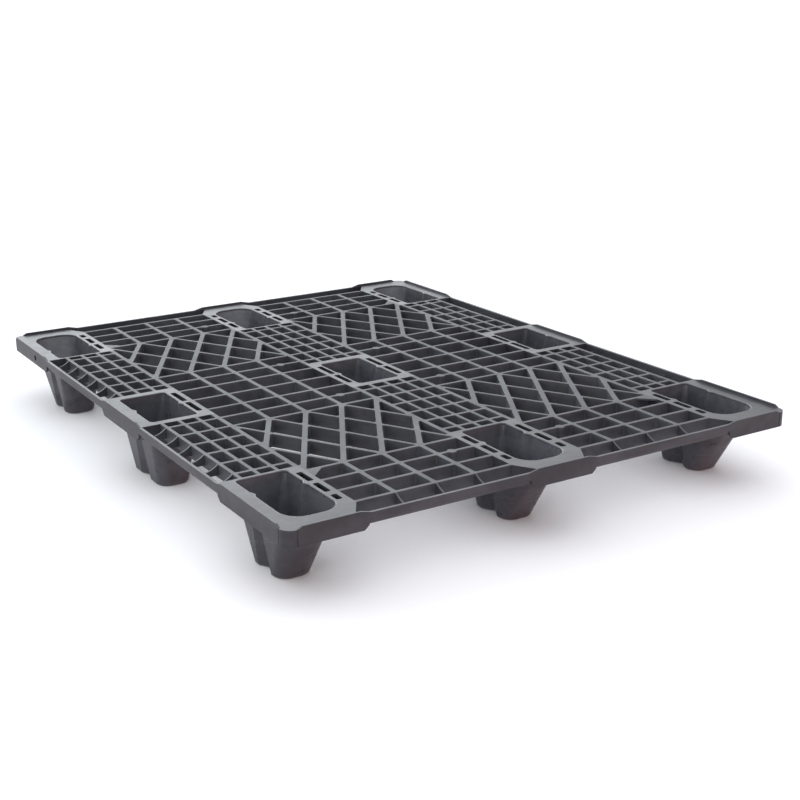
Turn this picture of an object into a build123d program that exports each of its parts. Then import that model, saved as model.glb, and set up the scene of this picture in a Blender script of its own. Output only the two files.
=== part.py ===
"""Nestable nine-leg plastic pallet, moulded in one shot.

Frame: millimetres, origin under the middle of the footprint at floor level, +Z up.
X runs along the 1100 side (left is -X), Y along the 1400 side (front is -Y).
Every region of the moulding is its own solid, and neighbours meet face to face.
"""
from build123d import *
from math import hypot
import os

# ---------------------------------------------------------------- overall sizes
size_x = 1100.0          # outer width
size_y = 1400.0          # outer length
size_z = 148.0           # floor to the top of the edge lips

# ---------------------------------------------------------------- deck
lip_height = 5.0         # edge lip above the deck surface
lip_wall = 3.5
lip_ramp = 22.0          # length over which a lip runs out
rib_depth = 26.0         # deck surface to the underside of the ribs
rib = 7.2                # ordinary rib width
column_rib = 9.2         # ribs that run along Y between the columns
sheet = 4.5              # thickness of the plates round the cups
cell_round = 4.0         # corner radius of the open cells
overshoot = 1.0          # how far an open-sided cell is cut past its region

# ---------------------------------------------------------------- perimeter
rim_wall = 5.6           # perimeter wall thickness
rim_depth = 20.5         # perimeter wall depth between the legs
rim_face = 13.5          # upright part of that wall, above its undercut
rim_foot = 1.8           # width left at the bottom of the undercut
skirt_depth = 29.0       # perimeter wall depth beside a leg
skirt_start = 5.5        # flat run before the skirt steps down
skirt_ramp = 9.0         # run of that step
corner_round = 22.0      # plan radius of each pallet corner
corner_groove = 1.2      # upright grooves where that rounding starts
lip_tip = 10.0           # length over which a lip runs out at a corner
edge_cell_x = 40.9       # open cells beside the left and right walls
edge_cell_y = 48.9       # open cells beside the front and rear walls
edge_drop = 13.0         # how far their cross ribs run down to the wall
edge_hollow = 4.0        # sag of those ribs' tops below a straight line
edge_rib = 3.6
tie_hole_r = 6.5         # hole through one side skirt
tie_hole_inset_y = 165.0
tie_hole_drop = 13.5

# ---------------------------------------------------------------- columns and rows
centre_columns = 4       # cells across the centre strip
side_columns = 3         # cells across each side strip
field_columns = 4        # cells across each field between the strips
first_row = 28.0         # middle plates to the rib that strips and fields share
row_inside = 60.7        # from that rib to the one inside it
row_outside = 56.9       # and to the one that bounds the lattice
end_pitch_y = 56.4       # front and rear field ribs
end_rows = 3
strip_rows = 4           # full strip rows between the two aligned ribs
half_row = 24.6          # narrow strip row beside an end plate

# ---------------------------------------------------------------- lattice
thick_rib = 10.6         # diagonals that climb to the right
thin_rib = 6.2           # diagonals that fall to the right
gate_r = 9.0             # round gate pads on the field ribs
gate_offset = 51.0       # from the inner column rib
gusset_x = 30.0          # web in the field corner beside an end plate
gusset_y = 29.0
gusset_thick = 4.0

# ---------------------------------------------------------------- cups and legs
leg_wall = 3.5
leg_floor = 5.0
cup_half_x = 49.6        # half width of the cup mouth
cup_edge_x = 81.4        # cup centre line to the outer face of the pallet
mid_half_y = 85.0        # half length of the middle-row mouths
end_length_y = 200.0     # length of the front and rear mouths
end_edge_y = 45.0        # front and rear mouths to the outer face
foot_inset_x = 15.6      # how far every foot stands in from its mouth, left and right
foot_mid_inset = 8.0     # mid foot in from its mouth, front and rear
foot_end_inner = 15.0    # end foot in from its mouth, inner side
foot_end_outer = 73.0    # and outer side
flute_edge_y = 173.0     # end flutes to the outer face of the pallet
flute_mouth = (12.0, 5.0, 3.5)    # groove at the mouth: half width, depth, rounding
flute_foot = (24.0, 14.0, 7.0)    # and at the sole
mouth_round = 9.0        # mouth corners away from the pallet edge
mouth_round_edge = 37.0  # mouth corners beside the pallet edge
foot_round = 26.0
foot_edge = 3.0          # bevel round the sole
drain_r = 6.0
mouth_edge = 2.0         # rounding of the mouth

mid_margin = 18.5        # mid plates: mouth to plate edge
end_margin = 6.5         # end plates: mouth to plate edge
plate_nick = 28.0        # cut-off corner of the front and rear plates
web = 4.0                # stiffening webs below the plates
web_step_x = 28.0        # webs beyond the mouth's ends, either side of its middle
mid_web_inset = 8.0      # outer webs of the mid plates, in from the mouth's ends
end_webs = (12.0, 75.0, 136.9, 184.0)    # from the mouth's inner end
slot_land = 2.2          # leg skin to slot
slot_width = 12.0
slot_inset = 9.9         # slot to plate edge
mid_slot_start = 5.3     # from the middle line
mid_slot_inset = 16.0    # slot to the mouth's end
end_slots = ((24.0, 70.5), (83.8, 128.9), (144.8, 168.7))  # from the mouth's inner end

# ---------------------------------------------------------------- derived places
deck = size_z - lip_height
half_x = size_x / 2
half_y = size_y / 2
rim_x = half_x - rim_wall
rim_y = half_y - rim_wall
straight_x = half_x - corner_round                # where the corners' rounding starts
straight_y = half_y - corner_round
cup_x = half_x - cup_edge_x
plate_half = cup_half_x + leg_wall + slot_land + slot_width + slot_inset
field_in = plate_half                             # the fields lie between the plates
field_out = cup_x - plate_half
centre_line = field_in - column_rib / 2           # rib between centre strip and field
side_line = field_out + column_rib / 2            # rib between field and side strip
strip_out = rim_x - edge_cell_x                   # outermost side strip rib
centre_pitch = 2 * centre_line / centre_columns
side_pitch = (strip_out - side_line) / side_columns
field_pitch = (side_line - centre_line) / field_columns
mid_plate = mid_half_y + mid_margin
shared_row = mid_plate + first_row
centre_rows = (shared_row - row_inside, shared_row, shared_row + row_outside)
end_line = rim_y - edge_cell_y                    # outermost field rib
truss_out = end_line - end_rows * end_pitch_y     # ribs that bound the lattice
truss_in = centre_rows[-1]
end_mouth_out = half_y - end_edge_y
end_mouth_in = end_mouth_out - end_length_y
end_plate = end_mouth_in - end_margin
strip_edge = strip_out + rib / 2
flute_y = half_y - flute_edge_y

sides = (("left", -1), ("right", 1))
ends = (("front", -1), ("rear", 1))
columns = (("left", -1), ("centre", 0), ("right", 1))
rows = (("front", -1), ("mid", 0), ("rear", 1))


def save(builder, name):
    """Label a finished piece and write it as its own STEP file."""
    builder.part.label = name
    export_step(builder.part, f"parts/{name}.step")


def strip_ribs():
    """Centre lines of the strip's cross ribs, from the middle plate outward."""
    last = end_plate - half_row
    first = centre_rows[2]
    step = (last - first) / strip_rows
    return [centre_rows[1]] + [first + step * i for i in range(strip_rows + 1)]


def cup_outline(row, level, inset):
    """Corner points and radii of a leg section, walked round one way.

    level is "mouth" or "foot"; inset is how far inside the outer skin it lies.
    """
    if level == "mouth":
        half = cup_half_x + leg_wall
        near, far = end_mouth_in - leg_wall, end_mouth_out + leg_wall
        middle = mid_half_y + leg_wall
        near_r, far_r = mouth_round + leg_wall, mouth_round_edge + leg_wall
        flute_half, flute_depth, flute_round = flute_mouth
    else:
        half = cup_half_x - foot_inset_x
        near = end_mouth_in + foot_end_inner
        far = end_mouth_out - foot_end_outer
        middle = mid_half_y - foot_mid_inset
        near_r = far_r = foot_round
        flute_half, flute_depth, flute_round = flute_foot
    if row == 0:
        low, high, groove = -middle, middle, 0.0
        low_r = high_r = near_r
    else:
        low, high, groove = near, far, flute_y
        low_r, high_r = near_r, far_r
    half, low, high = half - inset, low + inset, high - inset
    low_r, high_r = low_r - inset, high_r - inset
    tip = half - flute_depth
    points = [
        (-half, low), (half, low),
        (half, groove - flute_half), (tip, groove), (half, groove + flute_half),
        (half, high), (-half, high),
        (-half, groove + flute_half), (-tip, groove), (-half, groove - flute_half),
    ]
    flute = [flute_round] * 3
    radii = [low_r, low_r, *flute, high_r, high_r, *flute]
    turn = -1 if row < 0 else 1
    return [(x, turn * y) for x, y in points], radii


def cup_section(column, row, level, inset, height):
    """A leg section as a sketch at one height."""
    points, radii = cup_outline(row, level, inset)
    with BuildSketch(Plane((column * cup_x, 0, height))) as section:
        with BuildLine():
            FilletPolyline(*points, radius=radii, close=True)
        make_face()
    return section.sketch


def cup_solid(column, row, inset, base):
    """The tapered body of a leg: bevelled sole, tapered walls, short upright collar."""
    collar = deck - sheet
    with BuildPart() as body:
        add(cup_section(column, row, "foot", inset + foot_edge, base))
        add(cup_section(column, row, "foot", inset, base + foot_edge))
        loft(ruled=True)
        add(cup_section(column, row, "foot", inset, base + foot_edge))
        add(cup_section(column, row, "mouth", inset, collar))
        loft(ruled=True)
        add(cup_section(column, row, "mouth", inset, collar))
        extrude(amount=sheet)
    return body.part


def make_leg(column, row):
    """A hollow leg: outer skin, floor, grooves down both long sides and a drain hole."""
    drain_y = flute_y * row
    with BuildPart() as leg:
        add(cup_solid(column, row, 0.0, 0.0))
        add(cup_solid(column, row, leg_wall, leg_floor), mode=Mode.SUBTRACT)
        with Locations((column * cup_x, drain_y, leg_floor)):
            Hole(drain_r)
        brim = leg.faces().filter_by(Axis.Z).sort_by(Axis.Z)[-1]
        fillet(brim.inner_wires()[0].edges(), mouth_edge)
    return leg


def inset_polygon(points, insets):
    """Move each side of a counter-clockwise polygon inward by its own distance."""
    lines = []
    count = len(points)
    for i, inset in enumerate(insets):
        (ax, ay), (bx, by) = points[i], points[(i + 1) % count]
        run = hypot(bx - ax, by - ay)
        nx, ny = -(by - ay) / run, (bx - ax) / run
        lines.append((nx, ny, nx * ax + ny * ay + inset))
    corners = []
    for i in range(count):
        a1, b1, c1 = lines[i - 1]
        a2, b2, c2 = lines[i]
        det = a1 * b2 - a2 * b1
        corners.append(((c1 * b2 - c2 * b1) / det, (a1 * c2 - a2 * c1) / det))
    return corners


def cells(x_cuts, y_cuts):
    """Rounded rectangular cells between consecutive pairs of cuts."""
    for x0, x1 in x_cuts:
        for y0, y1 in y_cuts:
            with Locations(((x0 + x1) / 2, (y0 + y1) / 2)):
                RectangleRounded(x1 - x0, y1 - y0, cell_round, mode=Mode.SUBTRACT)


def gaps(lines, widths):
    """Open runs between neighbouring ribs, each given by its centre line and width."""
    runs = []
    for (a, wa), (b, wb) in zip(zip(lines, widths), zip(lines[1:], widths[1:])):
        runs.append((a + wa / 2, b - wb / 2))
    return runs


def flip(runs, side):
    """Mirror a list of runs about zero where side is negative."""
    return runs if side > 0 else [(-b, -a) for a, b in reversed(runs)]


def filled(points, radius=0.0):
    """A closed polygon as a sketch, with its corners rounded where a radius is given."""
    with BuildSketch() as shape:
        with BuildLine():
            if radius:
                FilletPolyline(*points, radius=radius, close=True)
            else:
                Polyline(*points, close=True)
        make_face()
    return shape.sketch


def box_between(x0, x1, y0, y1, mode=Mode.ADD):
    """A rectangle between two corners, in any order."""
    with Locations(((x0 + x1) / 2, (y0 + y1) / 2)):
        Rectangle(abs(x1 - x0), abs(y1 - y0), mode=mode)


# ---------------------------------------------------------------- strips
def make_strip(column, end):
    """The narrow-celled strip between two cups of one column."""
    rib_lines = strip_ribs()
    lines_y = [mid_plate - overshoot] + rib_lines + [end_plate + overshoot]
    runs_y = gaps(lines_y, [0] + [rib] * len(rib_lines) + [0])
    if column == 0:
        lines_x = [i * centre_pitch - centre_line for i in range(centre_columns + 1)]
        inner_ribs = [rib] * (centre_columns - 1)
        runs_x = gaps(lines_x, [column_rib, *inner_ribs, column_rib])
        x0, x1 = -field_in, field_in
    else:
        lines_x = [side_line + i * side_pitch for i in range(side_columns + 1)]
        runs_x = flip(gaps(lines_x, [column_rib] + [rib] * side_columns), column)
        x0, x1 = column * field_out, column * strip_edge
    with BuildPart() as strip:
        with BuildSketch(Plane.XY.offset(deck)):
            box_between(x0, x1, end * mid_plate, end * end_plate)
            cells(runs_x, flip(runs_y, end))
        extrude(amount=-rib_depth)
    return strip


# ---------------------------------------------------------------- fields
def field_runs_x(side):
    """Cell runs across a field; the outer two are open to the neighbouring columns."""
    inner = [centre_line + field_pitch * i for i in range(1, field_columns)]
    lines = [field_in - overshoot] + inner + [field_out + overshoot]
    return flip(gaps(lines, [0] + [column_rib] * len(inner) + [0]), side)


def gate_pads(side, y):
    """The round gate pad on one field rib."""
    with Locations((side * (centre_line + gate_offset), y)):
        Circle(gate_r)


def make_centre_field(side):
    """The rectangular grid that crosses the pallet's middle line."""
    lines_y = [-y for y in reversed(centre_rows)] + [0.0] + list(centre_rows)
    with BuildPart() as field:
        with BuildSketch(Plane.XY.offset(deck)):
            edge = truss_in + rib / 2
            box_between(side * field_in, side * field_out, -edge, edge)
            cells(field_runs_x(side), gaps(lines_y, [rib] * len(lines_y)))
            gate_pads(side, centre_rows[1])
            gate_pads(side, -centre_rows[1])
        extrude(amount=-rib_depth)
    return field


def make_end_field(side, end):
    """The rectangular grid between two end plates, with its corner gusset."""
    lines_y = [truss_out + i * end_pitch_y for i in range(end_rows + 1)]
    gate_y = lines_y[1]
    y0, y1 = truss_out - rib / 2, end_line + rib / 2
    corner_y = truss_out + rib / 2
    web_points = [(field_out, corner_y), (field_out - gusset_x, corner_y),
                  (field_out, corner_y + gusset_y)]
    with BuildPart() as field:
        with BuildSketch(Plane.XY.offset(deck)):
            box_between(side * field_in, side * field_out, end * y0, end * y1)
            cells(field_runs_x(side), flip(gaps(lines_y, [rib] * len(lines_y)), end))
            gate_pads(side, end * gate_y)
        extrude(amount=-rib_depth)
        with BuildSketch(Plane.XY.offset(deck)):
            add(filled([(side * x, end * y) for x, y in web_points]))
        extrude(amount=-gusset_thick)
    return field


# ---------------------------------------------------------------- lattice
def truss_cells():
    """The lattice's open cells, each as its corner points and its sides' insets.

    u counts columns, v half heights. Thick ribs are u - v = whole, thin ribs
    u + v = whole, so a cell is a unit square of (u - v, u + v) cut by the border.
    """
    side_inset = column_rib / 2 - overshoot
    end_inset = rib / 2 - overshoot
    thick, thin = thick_rib / 2, thin_rib / 2
    found = []
    for u in range(field_columns):
        found.append(([(u, 0), (u + 1, 0), (u + .5, .5)], [end_inset, thin, thick]))
        found.append(([(u, 2), (u + .5, 1.5), (u + 1, 2)], [thin, thick, end_inset]))
    for v in (0, 1):
        last = field_columns
        found.append(([(0, v), (.5, v + .5), (0, v + 1)], [thick, thin, side_inset]))
        found.append(([(last, v), (last, v + 1), (last - .5, v + .5)],
                      [side_inset, thick, thin]))
    middles = [(u + .5, 1.0) for u in range(field_columns)]
    middles += [(u, v) for u in range(1, field_columns) for v in (.5, 1.5)]
    for u, v in middles:
        points = [(u, v - .5), (u + .5, v), (u, v + .5), (u - .5, v)]
        found.append((points, [thick, thin, thick, thin]))
    return found


def make_truss(side, end):
    """The diagonal lattice in the middle of a field."""
    left = centre_line if side > 0 else -side_line
    low = truss_in if end > 0 else -truss_out
    half_height = (truss_out - truss_in) / 2
    with BuildPart() as truss:
        with BuildSketch(Plane.XY.offset(deck)):
            box_between(side * field_in, side * field_out,
                        end * (truss_in + rib / 2), end * (truss_out - rib / 2))
            for points, insets in truss_cells():
                corners = [(left + u * field_pitch, low + v * half_height) for u, v in points]
                add(filled(inset_polygon(corners, insets), cell_round), mode=Mode.SUBTRACT)
        extrude(amount=-rib_depth)
    return truss


# ---------------------------------------------------------------- rails
def rim_profile():
    """Section of the wall between the legs: outward distance from its inner face, and z."""
    return [(0, deck), (rim_wall, deck), (rim_wall, deck - rim_face),
            (rim_foot, deck - rim_depth), (0, deck - rim_depth)]


def rim_undercut():
    """Section of what that wall lacks at its outer foot, in the same terms."""
    return [(rim_wall, deck - rim_face), (rim_wall, deck - rim_depth),
            (rim_foot, deck - rim_depth)]


def edge_section(start, stop):
    """Section of an edge cell's cross rib, whose top sweeps down to the wall."""
    foot = deck - rim_depth
    with BuildSketch() as section:
        with BuildLine():
            Polyline((stop, deck - edge_drop), (stop, foot), (start, foot), (start, deck))
            ThreePointArc((start, deck),
                          ((start + stop) / 2, deck - edge_drop / 2 - edge_hollow),
                          (stop, deck - edge_drop))
        make_face()
    return section.sketch


def make_side_rail(side, end):
    """The left or right wall between two plates, with its cross ribs."""
    run = end_plate - mid_plate
    middle = end * (end_plate + mid_plate) / 2
    with BuildPart() as rail:
        with BuildSketch(Plane.XZ.offset(-(middle - run / 2))):
            add(filled([(side * (rim_x + x), z) for x, z in rim_profile()]))
        extrude(amount=-run)
        for y in strip_ribs():
            with BuildSketch(Plane.XZ.offset(edge_rib / 2 - end * y)):
                add(edge_section(side * strip_edge, side * rim_x))
            extrude(amount=-edge_rib)
    return rail


def make_end_rail(side, end):
    """The front or rear wall between two plates, with its cross ribs."""
    run = field_out - field_in
    middle = side * (field_out + field_in) / 2
    with BuildPart() as rail:
        with BuildSketch(Plane.YZ.offset(middle - run / 2)):
            add(filled([(end * (rim_y + y), z) for y, z in rim_profile()]))
        extrude(amount=run)
        for i in range(1, field_columns):
            x = side * (centre_line + field_pitch * i)
            with BuildSketch(Plane.YZ.offset(x - edge_rib / 2)):
                add(edge_section(end * (end_line + rib / 2), end * rim_y))
            extrude(amount=edge_rib)
    return rail


# ---------------------------------------------------------------- plates
def pallet_outline(inset):
    """The whole pallet's plan outline, as a sketch, set in from the outer face."""
    with BuildSketch() as outline:
        RectangleRounded(size_x - 2 * inset, size_y - 2 * inset, corner_round - inset)
        if inset == 0:
            with GridLocations(2 * straight_x, size_y, 2, 2):
                Circle(corner_groove, mode=Mode.SUBTRACT)
            with GridLocations(size_x, 2 * straight_y, 2, 2):
                Circle(corner_groove, mode=Mode.SUBTRACT)
    return outline.sketch


def plate_region(column, row, beyond=0.0):
    """Plan limits of a plate: x0, x1, y0, y1, taken beyond the pallet's outer faces."""
    if column == 0:
        x0, x1 = -field_in, field_in
    else:
        x0, x1 = sorted((column * field_out, column * (half_x + beyond)))
    if row == 0:
        y0, y1 = -mid_plate, mid_plate
    else:
        y0, y1 = sorted((row * end_plate, row * (half_y + beyond)))
    return x0, x1, y0, y1


def nicks(column, row):
    """Triangles cut from an end plate's corners beside the front or rear wall."""
    sides_cut = (-1, 1) if column == 0 else (column,)
    if row == 0:
        return []
    found = []
    for side in sides_cut:
        start = field_in if column == 0 else field_out
        inward = -1 if column == 0 else 1
        found.append([(side * start, row * (end_line + rib / 2)),
                      (side * (start + inward * plate_nick), row * rim_y),
                      (side * start, row * rim_y)])
    return found


def plate_slots(column, row):
    """Centre, and half sizes, of every slot beside the cup."""
    lines = [-1, 1] if column == 0 else [column]
    start = field_in - slot_inset if column == 0 else field_out + slot_inset
    inward = -1 if column == 0 else 1
    if row == 0:
        mid_slot_end = mid_half_y - mid_slot_inset
        runs = [(mid_slot_start, mid_slot_end), (-mid_slot_end, -mid_slot_start)]
    else:
        runs = [tuple(sorted((row * (end_mouth_in + a), row * (end_mouth_in + b))))
                for a, b in end_slots]
    places = []
    for line in lines:
        x = line * (start + inward * slot_width / 2)
        places += [(x, (a + b) / 2, slot_width, b - a) for a, b in runs]
    return places


def ramp_cuts(start, inward):
    """Add the two regions a plate's wall loses where it meets a rail: below and above."""
    run_out = skirt_start + skirt_ramp
    below = [(-1, deck - rim_depth), (skirt_start, deck - rim_depth),
             (run_out, deck - skirt_depth), (run_out, 0), (-1, 0)]
    above = [(-1, deck), (0, deck), (lip_ramp, size_z), (lip_ramp, size_z + 1), (-1, size_z + 1)]
    for points in (below, above):
        add(filled([(start + inward * s, z) for s, z in points]))


def tip_cut(start, outward):
    """Add the region a lip loses where it runs out at a pallet corner."""
    add(filled([(start, deck), (start, size_z), (start - outward * lip_tip, size_z)]))


def ring(inset_inner, limits):
    """Plan sketch of the perimeter wall inside a plate's limits."""
    x0, x1, y0, y1 = limits
    with BuildSketch() as band:
        box_between(x0, x1, y0, y1)
        add(pallet_outline(0.0), mode=Mode.INTERSECT)
        add(pallet_outline(inset_inner), mode=Mode.SUBTRACT)
    return band.sketch


def make_wall(column, row):
    """The skirt and lip of one plate, run out to the rails at its inner ends."""
    x0, x1, y0, y1 = plate_region(column, row)
    with BuildPart() as wall:
        with BuildSketch(Plane.XY.offset(deck)):
            add(ring(rim_wall, (x0, x1, y0, y1)))
        extrude(amount=-skirt_depth)
        with BuildSketch(Plane.XY.offset(deck)):
            add(ring(lip_wall, (x0, x1, y0, y1)))
            if column and row:
                box_between(column * straight_x, column * half_x,
                            row * straight_y, row * half_y, mode=Mode.SUBTRACT)
        extrude(amount=lip_height)
        if row:
            with BuildSketch(Plane.XZ):
                for side in ((-1, 1) if column == 0 else (column,)):
                    start = side * (field_in if column == 0 else field_out)
                    ramp_cuts(start, -side if column == 0 else side)
                if column:
                    tip_cut(column * straight_x, column)
            extrude(amount=size_y, both=True, mode=Mode.SUBTRACT)
            for side in ((-1, 1) if column == 0 else (column,)):
                start = side * (field_in if column == 0 else field_out)
                with BuildSketch(Plane.YZ.offset(start)):
                    add(filled([(row * (rim_y + y), z) for y, z in rim_undercut()]))
                run = (-side if column == 0 else side) * skirt_start
                extrude(amount=run, mode=Mode.SUBTRACT)
        if column:
            with BuildSketch(Plane.YZ):
                for end in ((-1, 1) if row == 0 else (row,)):
                    start = end * (mid_plate if row == 0 else end_plate)
                    ramp_cuts(start, -end if row == 0 else end)
                if row:
                    tip_cut(row * straight_y, row)
            extrude(amount=size_x, both=True, mode=Mode.SUBTRACT)
            for end in ((-1, 1) if row == 0 else (row,)):
                start = end * (mid_plate if row == 0 else end_plate)
                with BuildSketch(Plane.XZ.offset(-start)):
                    add(filled([(column * (rim_x + x), z) for x, z in rim_undercut()]))
                run = (-end if row == 0 else end) * skirt_start
                extrude(amount=-run, mode=Mode.SUBTRACT)
    return wall


def rib_band(column, row):
    """Plan sketch of the rib round a plate's inner edges, as far as the wall."""
    with BuildSketch() as cover:
        box_between(*plate_region(column, row, beyond=rib))
        for points in nicks(column, row):
            add(filled(points), mode=Mode.SUBTRACT)
    with BuildSketch() as band:
        add(cover.sketch)
        offset(cover.sketch, amount=-rib, kind=Kind.INTERSECTION, mode=Mode.SUBTRACT)
        add(pallet_outline(rim_wall), mode=Mode.INTERSECT)
    return band.sketch


def make_plate(column, row):
    """The plate round one cup: sheet, slots, edge ribs, webs, skirt and lip."""
    limits = plate_region(column, row)
    x0, x1, y0, y1 = limits
    if row == 0:
        webs_y = [side * (mid_half_y - mid_web_inset) for side in (-1, 0, 1)]
    else:
        webs_y = [row * (end_mouth_in + y) for y in end_webs]
    with BuildPart() as plate:
        with BuildSketch(Plane.XY.offset(deck)) as top:
            box_between(*limits)
            add(pallet_outline(0.0), mode=Mode.INTERSECT)
            for points in nicks(column, row):
                add(filled(points), mode=Mode.SUBTRACT)
        panel = top.sketch
        extrude(amount=-sheet)
        with BuildSketch(Plane.XY.offset(deck)):
            add(rib_band(column, row))
        extrude(amount=-rib_depth)
        with BuildSketch(Plane.XY.offset(deck)):
            for y in webs_y:
                box_between(x0, x1, y - web / 2, y + web / 2)
            for step in (-1, 0, 1):
                x = column * cup_x + step * web_step_x
                box_between(x - web / 2, x + web / 2, y0, y1)
            add(panel, mode=Mode.INTERSECT)
            add(pallet_outline(rim_wall), mode=Mode.INTERSECT)
        extrude(amount=-rib_depth)
        if row or column:
            add(make_wall(column, row).part)
        with BuildSketch(Plane.XY.offset(deck)):
            for x, y, width, length in plate_slots(column, row):
                with Locations((x, y)):
                    RectangleRounded(width, length, cell_round)
        extrude(amount=-rib_depth, mode=Mode.SUBTRACT)
        add(cup_solid(column, row, 0.0, 0.0), mode=Mode.SUBTRACT)
        if (column, row) == (-1, 1):
            hole_at = (-half_x, half_y - tie_hole_inset_y, deck - tie_hole_drop)
            with Locations(Plane(origin=hole_at, z_dir=(-1, 0, 0))):
                Hole(tie_hole_r, depth=2 * rim_wall)
    return plate


# ---------------------------------------------------------------- build every piece
os.makedirs("parts", exist_ok=True)

for row_name, row in rows:
    for column_name, column in columns:
        save(make_leg(column, row), f"leg_{row_name}_{column_name}")
        save(make_plate(column, row), f"plate_{row_name}_{column_name}")

for end_name, end in ends:
    for column_name, column in columns:
        save(make_strip(column, end), f"strip_{end_name}_{column_name}")
    for side_name, side in sides:
        save(make_end_field(side, end), f"field_{end_name}_{side_name}")
        save(make_truss(side, end), f"truss_{end_name}_{side_name}")
        save(make_side_rail(side, end), f"rail_side_{end_name}_{side_name}")
        save(make_end_rail(side, end), f"rail_end_{end_name}_{side_name}")

for side_name, side in sides:
    save(make_centre_field(side), f"field_centre_{side_name}")
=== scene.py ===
"""Looks of the nestable nine-leg plastic pallet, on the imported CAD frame.

Metres, the frame's own axes: floor at z 0, long side along Y, left is -X.
Every piece is a CAD node that keeps its mesh; this script gives the nodes their
moulded polyethylene, the studio and the camera.
"""

import math

import bpy
from mathutils import Matrix, Vector


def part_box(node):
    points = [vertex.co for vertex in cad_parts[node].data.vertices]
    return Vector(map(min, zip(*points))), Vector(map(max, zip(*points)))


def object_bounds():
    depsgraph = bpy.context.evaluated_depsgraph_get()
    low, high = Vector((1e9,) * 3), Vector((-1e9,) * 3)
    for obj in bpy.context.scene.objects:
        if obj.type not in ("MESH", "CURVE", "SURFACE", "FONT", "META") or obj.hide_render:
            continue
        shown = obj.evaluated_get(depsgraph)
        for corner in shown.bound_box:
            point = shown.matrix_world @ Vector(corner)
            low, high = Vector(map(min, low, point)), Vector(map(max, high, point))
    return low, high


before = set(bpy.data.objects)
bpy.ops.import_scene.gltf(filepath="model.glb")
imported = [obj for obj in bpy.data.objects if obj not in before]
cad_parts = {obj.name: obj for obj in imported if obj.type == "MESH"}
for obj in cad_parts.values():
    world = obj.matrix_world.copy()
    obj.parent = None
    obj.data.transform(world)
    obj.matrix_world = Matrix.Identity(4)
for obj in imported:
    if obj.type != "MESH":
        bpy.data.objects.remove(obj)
CAD_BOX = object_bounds()

# ---------------------------------------------------------------- places from the frame
FLOOR_Z = CAD_BOX[0].z
DECK_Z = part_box("strip_front_centre")[1].z
DECK_CENTRE = (0.0, 0.0, DECK_Z)

# ---------------------------------------------------------------- camera
VIEW_TURN = math.radians(30.42)     # the view runs along +Y, turned this far to +X
VIEW_DROP = math.radians(17.75)     # and this far down
VIEW_ROLL = math.radians(-0.90)
VIEW_AIM = (-0.1116, -0.1828)       # where the lens axis meets the deck
VIEW_DISTANCE = 2.6946
LENS_MM = 60.13
SENSOR_MM = 36.0
FRAME_SHIFT = 0.0525
NEAREST_SEEN = 0.05

# ---------------------------------------------------------------- studio
FLOOR_SIZE = 240.0
FLOOR_GAP = 0.0003                  # keeps the soles off the floor's face
FLOOR_WHITE = (0.92, 0.92, 0.92)    # as seen directly
FLOOR_BOUNCE = (0.52, 0.50, 0.51)   # as it lights the plastic
SOLE_NEAR = 0.004                   # nearer than this the floor lets some light past,
SOLE_GLOW = 0.35                    # so that the soles aren't black from below
SKY_SEEN = (1.0, 1.0, 1.0)          # the sky where it shows directly
SKY_BACK = (2.66, 2.77, 2.86)       # radiance of the sky beyond the pallet
SKY_ROUND = (0.48, 0.44, 0.44)      # low down on every other side
SKY_TOP = (1.52, 1.58, 1.67)
SKY_TOWARDS = (-0.20, 0.98, 0.0)    # the middle of the bright side
SKY_BACK_FADE = (0.25, 1.0)         # from SKY_ROUND to SKY_BACK, as the cosine to that
SKY_TOP_FADE = (0.25, 0.95)         # from the sides to SKY_TOP, as the height's sine
SIDE_LIGHT = {"place": (-3.0, -1.7, 1.1), "size": (1.5, 1.5), "watts": 13}
WARM_LIGHT = {"place": (0.6, -3.4, 0.35), "size": (1.6, 0.5), "watts": 27,
              "colour": (1.0, 0.42, 0.36), "shows": False}

# ---------------------------------------------------------------- polyethylene
PLASTIC_DARK = Vector((0.037, 0.038, 0.044))
PLASTIC_LIGHT = Vector((0.058, 0.060, 0.068))
RUBBED = (0.115, 0.118, 0.122)      # scuffed or edge-rubbed plastic
DUST = (0.19, 0.18, 0.165)
PLASTIC_IOR = 1.52
WAVE_DEPTH = 0.0012                 # slight unevenness of the moulded faces
BEVEL_SAMPLES = 4
WORN_TINT, DUST_TINT, SOLE_WEAR = 0.75, 0.35, 0.7
WORN_DULLING = 0.22                 # roughness added where worn or dusty
GLOSS_SPREAD = 0.16                 # how much the roughness varies

# where each kind of wear starts and where it is full
EDGE_BEND = (0.01, 0.16)            # 1 - cosine of the lean of an edge's softened normal
TOP_BAND = (0.004, 0.001)           # scratches, below the deck
SOLE_BAND = (0.012, 0.001)          # floor rub, above the floor
DUST_BAND = (0.030, 0.008)          # dust in the cups, above the floor
TOP_FACING = (0.80, 0.95)           # a scratched face's upward lean
DUST_FACING = (0.5, 0.95)           # a dusty face's

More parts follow.
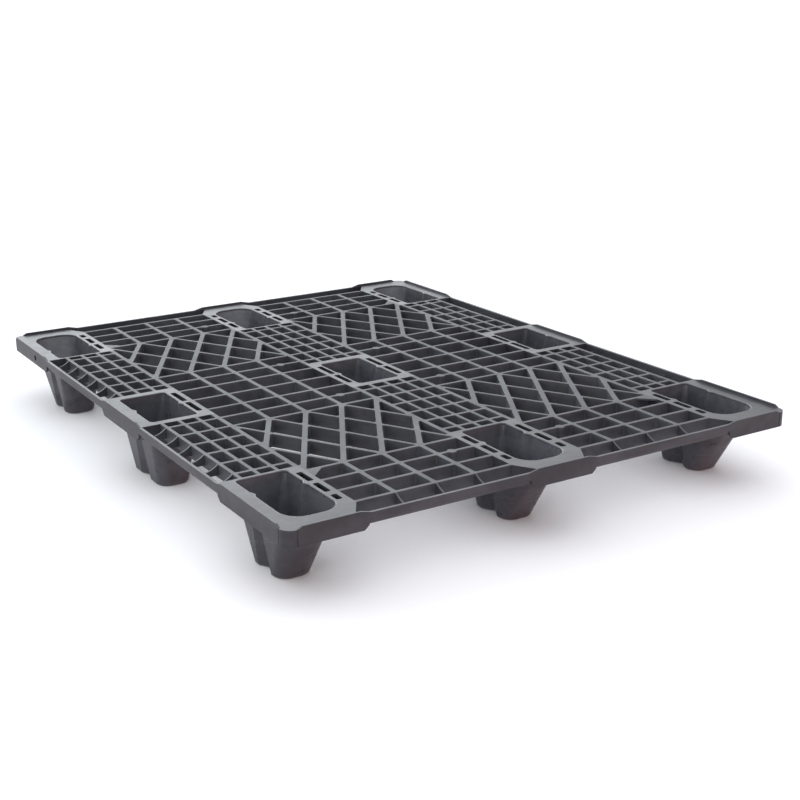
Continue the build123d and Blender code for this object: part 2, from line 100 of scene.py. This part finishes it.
# noise patterns, scale in cells per metre; span is where spots start and are full
MARBLE = {"scale": 5.0, "detail": 4.0, "stretch": (1.0, 0.45, 3.0), "distortion": 1.2}
MOTTLE = {"scale": 60.0, "detail": 3.0}
MARBLE_SHARE, MOTTLE_SHARE = 0.7, 0.3
TONE_SPAN = (0.36, 0.62)
EDGE_SPOTS = {"scale": 34.0, "detail": 3.0, "span": (0.42, 0.66)}
SCRATCHES_X = {"scale": 9.0, "detail": 3.0, "stretch": (4.0, 70.0, 1.0), "span": (0.64, 0.72)}
SCRATCHES_Y = {"scale": 9.0, "detail": 3.0, "stretch": (70.0, 4.0, 1.0), "span": (0.65, 0.73)}
SCRATCHED_AREA = {"scale": 7.0, "detail": 2.0, "span": (0.40, 0.70)}
SOLE_SPOTS = {"scale": 40.0, "detail": 4.0, "span": (0.35, 0.7)}
DUST_SPOTS = {"scale": 22.0, "detail": 5.0, "span": (0.40, 0.75)}
SHEEN = {"scale": 14.0, "detail": 3.0}
GRAIN = {"scale": 1500.0, "detail": 2.0}
WAVE = {"scale": 16.0, "detail": 2.0}

# each region's finish; moulded() says what the values are. pale is painted light and shade: it
# makes the one plastic lighter on the legs and lattice and darker on the plates, standing in
# for the light each region gets
FINISHES = {
    "lattice": {"gloss": 0.48, "texture": 0.00004, "wear": 1.0, "edge_radius": 0.0018,
                "pale": 1.25},
    "plate": {"gloss": 0.32, "texture": 0.00003, "wear": 0.8, "edge_radius": 0.0010,
              "pale": 0.85},
    "leg": {"gloss": 0.28, "texture": 0.00002, "wear": 0.6, "edge_radius": 0.0008,
            "pale": 1.65},
    "rail": {"gloss": 0.34, "texture": 0.00003, "wear": 1.0, "edge_radius": 0.0012,
             "pale": 1.0},
}


def camera():
    """The camera at the photograph's angle, placed from where its axis meets the deck."""
    aim = Vector((*VIEW_AIM, DECK_Z))
    back = Vector((
        -math.sin(VIEW_TURN) * math.cos(VIEW_DROP),
        -math.cos(VIEW_TURN) * math.cos(VIEW_DROP),
        math.sin(VIEW_DROP),
    ))
    data = bpy.data.cameras.new("camera")
    data.lens, data.sensor_width = LENS_MM, SENSOR_MM
    data.shift_x = FRAME_SHIFT
    data.clip_start, data.clip_end = NEAREST_SEEN, FLOOR_SIZE * 2
    obj = bpy.data.objects.new("camera", data)
    bpy.context.scene.collection.objects.link(obj)
    turn = (-back).to_track_quat("-Z", "Y").to_matrix().to_4x4()
    place = Matrix.Translation(aim + back * VIEW_DISTANCE)
    obj.matrix_world = place @ turn @ Matrix.Rotation(VIEW_ROLL, 4, "Z")
    bpy.context.scene.camera = obj


class Nodes:
    """A material's node tree, with short calls for the nodes used here."""

    def __init__(self, tree):
        self.tree = tree
        tree.nodes.clear()

    def add(self, kind, settings=(), **inputs):
        """A node with its properties set and its inputs linked or filled, by name."""
        node = self.tree.nodes.new(kind)
        for key, value in dict(settings).items():
            setattr(node, key, value)
        for key, value in inputs.items():
            self.put(node.inputs[key.replace("_", " ")], value)
        return node

    def put(self, socket, value):
        if isinstance(value, bpy.types.NodeSocket):
            self.tree.links.new(value, socket)
        else:
            socket.default_value = value

    def math(self, operation, a, b=0.0, clamp=False):
        node = self.add("ShaderNodeMath", {"operation": operation, "use_clamp": clamp})
        self.put(node.inputs[0], a)
        self.put(node.inputs[1], b)
        return node.outputs[0]

    def ramp(self, value, low, high):
        """0 below low, 1 above high, smooth between."""
        node = self.add("ShaderNodeMapRange", {"interpolation_type": "SMOOTHSTEP"})
        self.put(node.inputs["Value"], value)
        node.inputs["From Min"].default_value = low
        node.inputs["From Max"].default_value = high
        return node.outputs["Result"]

    def mix(self, factor, a, b):
        node = self.add("ShaderNodeMix", {"data_type": "RGBA"})
        self.put(node.inputs["Factor"], factor)
        for socket, value in ((node.inputs[6], a), (node.inputs[7], b)):
            self.put(socket, value if isinstance(value, bpy.types.NodeSocket) else (*value, 1))
        return node.outputs[2]

    def noise(self, place, scale, detail=2.0, stretch=None, distortion=0.0):
        if stretch:
            mapping = self.add("ShaderNodeMapping", Vector=place, Scale=stretch)
            place = mapping.outputs[0]
        node = self.add("ShaderNodeTexNoise", Vector=place, Scale=scale,
                        Detail=detail, Distortion=distortion)
        return node.outputs["Fac"]

    def spots(self, place, span, **pattern):
        """Noise turned into patches: 0 below span, 1 above it, smooth between."""
        return self.ramp(self.noise(place, **pattern), *span)


def moulded(name, gloss, texture, wear, edge_radius, pale):
    """Moulded polyethylene: gloss is its mean roughness, texture the depth of the
    mould's grain in metres, wear how rubbed its edges and top are, edge_radius how
    soft its edges are, pale how far its colour is lightened or darkened as painted light and
    shade."""
    material = bpy.data.materials.new(name)
    material.use_nodes = True
    n = Nodes(material.node_tree)
    place = n.add("ShaderNodeTexCoord").outputs["Object"]
    shape = n.add("ShaderNodeNewGeometry")
    level = n.add("ShaderNodeSeparateXYZ", Vector=place).outputs["Z"]
    facing = n.add("ShaderNodeSeparateXYZ", Vector=shape.outputs["True Normal"]).outputs["Z"]

    # colour: slow flow marbling in the melt, with finer mottling on it
    marble = n.math("MULTIPLY", n.noise(place, **MARBLE), MARBLE_SHARE)
    mottle = n.math("MULTIPLY", n.noise(place, **MOTTLE), MOTTLE_SHARE)
    tone = n.ramp(n.math("ADD", marble, mottle), *TONE_SPAN)
    # pale lightens or darkens the same plastic per region: painted light and shade, not a
    # different plastic
    colour = n.mix(tone, PLASTIC_DARK * pale, PLASTIC_LIGHT * pale)

    # edges: rubbed where the softened normal leaves the flat one
    soft = n.add("ShaderNodeBevel", {"samples": BEVEL_SAMPLES}, Radius=edge_radius).outputs[0]
    dot = n.add("ShaderNodeVectorMath", {"operation": "DOT_PRODUCT"})
    n.put(dot.inputs[0], soft)
    n.put(dot.inputs[1], shape.outputs["Normal"])
    edge = n.ramp(n.math("SUBTRACT", 1.0, dot.outputs["Value"]), *EDGE_BEND)
    patchy = n.math("MULTIPLY", edge, n.spots(place, **EDGE_SPOTS))
    rubbed_edge = n.math("MULTIPLY", patchy, wear)

    # top: fine scratches both ways where goods slide over the deck
    lines = n.math("MAXIMUM", n.spots(place, **SCRATCHES_X), n.spots(place, **SCRATCHES_Y))
    lines = n.math("MULTIPLY", lines, n.spots(place, **SCRATCHED_AREA))
    at_deck = n.ramp(level, DECK_Z - TOP_BAND[0], DECK_Z - TOP_BAND[1])
    top = n.math("MULTIPLY", n.ramp(facing, *TOP_FACING), at_deck)
    scuffed = n.math("MULTIPLY", n.math("MULTIPLY", lines, top), wear)

    # soles: rubbed by the floor
    low = n.ramp(level, FLOOR_Z + SOLE_BAND[0], FLOOR_Z + SOLE_BAND[1])
    sole = n.math("MULTIPLY", low, n.spots(place, **SOLE_SPOTS))
    rubbed = n.math("MAXIMUM", rubbed_edge, scuffed)
    worn = n.math("MAXIMUM", rubbed, n.math("MULTIPLY", sole, SOLE_WEAR))
    colour = n.mix(n.math("MULTIPLY", worn, WORN_TINT), colour, RUBBED)

    # dust settles on the cups' floors
    floor_level = n.ramp(level, FLOOR_Z + DUST_BAND[0], FLOOR_Z + DUST_BAND[1])
    cup_floor = n.math("MULTIPLY", floor_level, n.ramp(facing, *DUST_FACING))
    dust = n.math("MULTIPLY", cup_floor, n.spots(place, **DUST_SPOTS))
    colour = n.mix(n.math("MULTIPLY", dust, DUST_TINT), colour, DUST)

    # gloss: satin, duller where rubbed, scratched or dusty
    uneven = n.math("SUBTRACT", n.noise(place, **SHEEN), 0.5)
    satin = n.math("ADD", n.math("MULTIPLY", uneven, GLOSS_SPREAD), gloss)
    dulled = n.math("MULTIPLY", n.math("ADD", worn, dust), WORN_DULLING)
    rough = n.math("ADD", satin, dulled, clamp=True)

    # relief: spark-eroded grain, slight waviness, and the soft edges
    wave = n.noise(place, **WAVE)
    grain = n.noise(place, **GRAIN)
    slow = n.add("ShaderNodeBump", Height=wave, Normal=soft, Strength=1.0, Distance=WAVE_DEPTH)
    fine = n.add("ShaderNodeBump", Height=grain, Normal=slow.outputs[0], Strength=1.0,
                 Distance=texture)

    shader = n.add("ShaderNodeBsdfPrincipled", Base_Color=colour, Roughness=rough,
                   IOR=PLASTIC_IOR, Normal=fine.outputs[0])
    n.add("ShaderNodeOutputMaterial", Surface=shader.outputs[0])
    return material


def studio_floor():
    """A plain pale floor that shows only from above, so the soles can be looked at too.

    It looks white but lights the plastic as mid grey, which keeps the walls dark enough.
    """
    mesh = bpy.data.meshes.new("studio_floor")
    r = FLOOR_SIZE / 2
    mesh.from_pydata([(-r, -r, 0), (r, -r, 0), (r, r, 0), (-r, r, 0)], [], [(0, 1, 2, 3)])
    floor = bpy.data.objects.new("studio_floor", mesh)
    floor.location.z = FLOOR_Z - FLOOR_GAP
    bpy.context.scene.collection.objects.link(floor)

    material = bpy.data.materials.new("studio_floor")
    material.use_nodes = True
    n = Nodes(material.node_tree)
    ray = n.add("ShaderNodeLightPath")
    shade = n.mix(ray.outputs["Is Camera Ray"], FLOOR_BOUNCE, FLOOR_WHITE)
    white = n.add("ShaderNodeBsdfDiffuse", Color=shade)
    clear = n.add("ShaderNodeBsdfTransparent")
    below = n.add("ShaderNodeNewGeometry").outputs["Backfacing"]
    near = n.math("LESS_THAN", ray.outputs["Ray Length"], SOLE_NEAR)
    under_sole = n.math("MULTIPLY", near, SOLE_GLOW)
    side = n.add("ShaderNodeMixShader")
    n.put(side.inputs[0], n.math("MAXIMUM", below, under_sole))
    n.put(side.inputs[1], white.outputs[0])
    n.put(side.inputs[2], clear.outputs[0])
    n.add("ShaderNodeOutputMaterial", Surface=side.outputs[0])
    mesh.materials.append(material)


def sky():
    """Soft studio light, brightest beyond the pallet; where it is in view it is white."""
    world = bpy.data.worlds.new("studio")
    world.use_nodes = True
    n = Nodes(world.node_tree)
    ray = n.add("ShaderNodeTexCoord").outputs["Generated"]
    ahead = n.add("ShaderNodeVectorMath", {"operation": "DOT_PRODUCT"})
    n.put(ahead.inputs[0], ray)
    ahead.inputs[1].default_value = Vector(SKY_TOWARDS)
    height = n.add("ShaderNodeSeparateXYZ", Vector=ray).outputs["Z"]
    sides = n.mix(n.ramp(ahead.outputs["Value"], *SKY_BACK_FADE), SKY_ROUND, SKY_BACK)
    colour = n.mix(n.ramp(height, *SKY_TOP_FADE), sides, SKY_TOP)
    direct = n.add("ShaderNodeLightPath").outputs["Is Camera Ray"]
    seen = n.mix(direct, colour, SKY_SEEN)
    background = n.add("ShaderNodeBackground", Color=seen, Strength=1.0)
    n.add("ShaderNodeOutputWorld", Surface=background.outputs[0])
    bpy.context.scene.world = world


def softbox(name, place, size, watts, colour=(1, 1, 1), shows=True):
    """A rectangular light facing the deck's middle; shows is whether gloss mirrors it."""
    data = bpy.data.lights.new(name, "AREA")
    data.shape = "RECTANGLE"
    data.size, data.size_y = size
    data.energy = watts
    data.color = colour
    obj = bpy.data.objects.new(name, data)
    obj.location = place
    obj.visible_glossy = shows
    towards = Vector(DECK_CENTRE) - Vector(place)
    obj.rotation_euler = towards.to_track_quat("-Z", "Y").to_euler()
    bpy.context.scene.collection.objects.link(obj)


def finish_nodes():
    """Gives every CAD node its region's plastic; strips, fields and trusses are lattice."""
    regions = {region: moulded("hdpe_" + region, **finish)
               for region, finish in FINISHES.items()}
    for name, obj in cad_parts.items():
        material = regions.get(name.split("_")[0], regions["lattice"])
        for slot in obj.material_slots:
            slot.material = material


finish_nodes()
studio_floor()
sky()
softbox("left", **SIDE_LIGHT)
softbox("low_front", **WARM_LIGHT)
camera()
bpy.context.scene.view_settings.view_transform = "Standard"
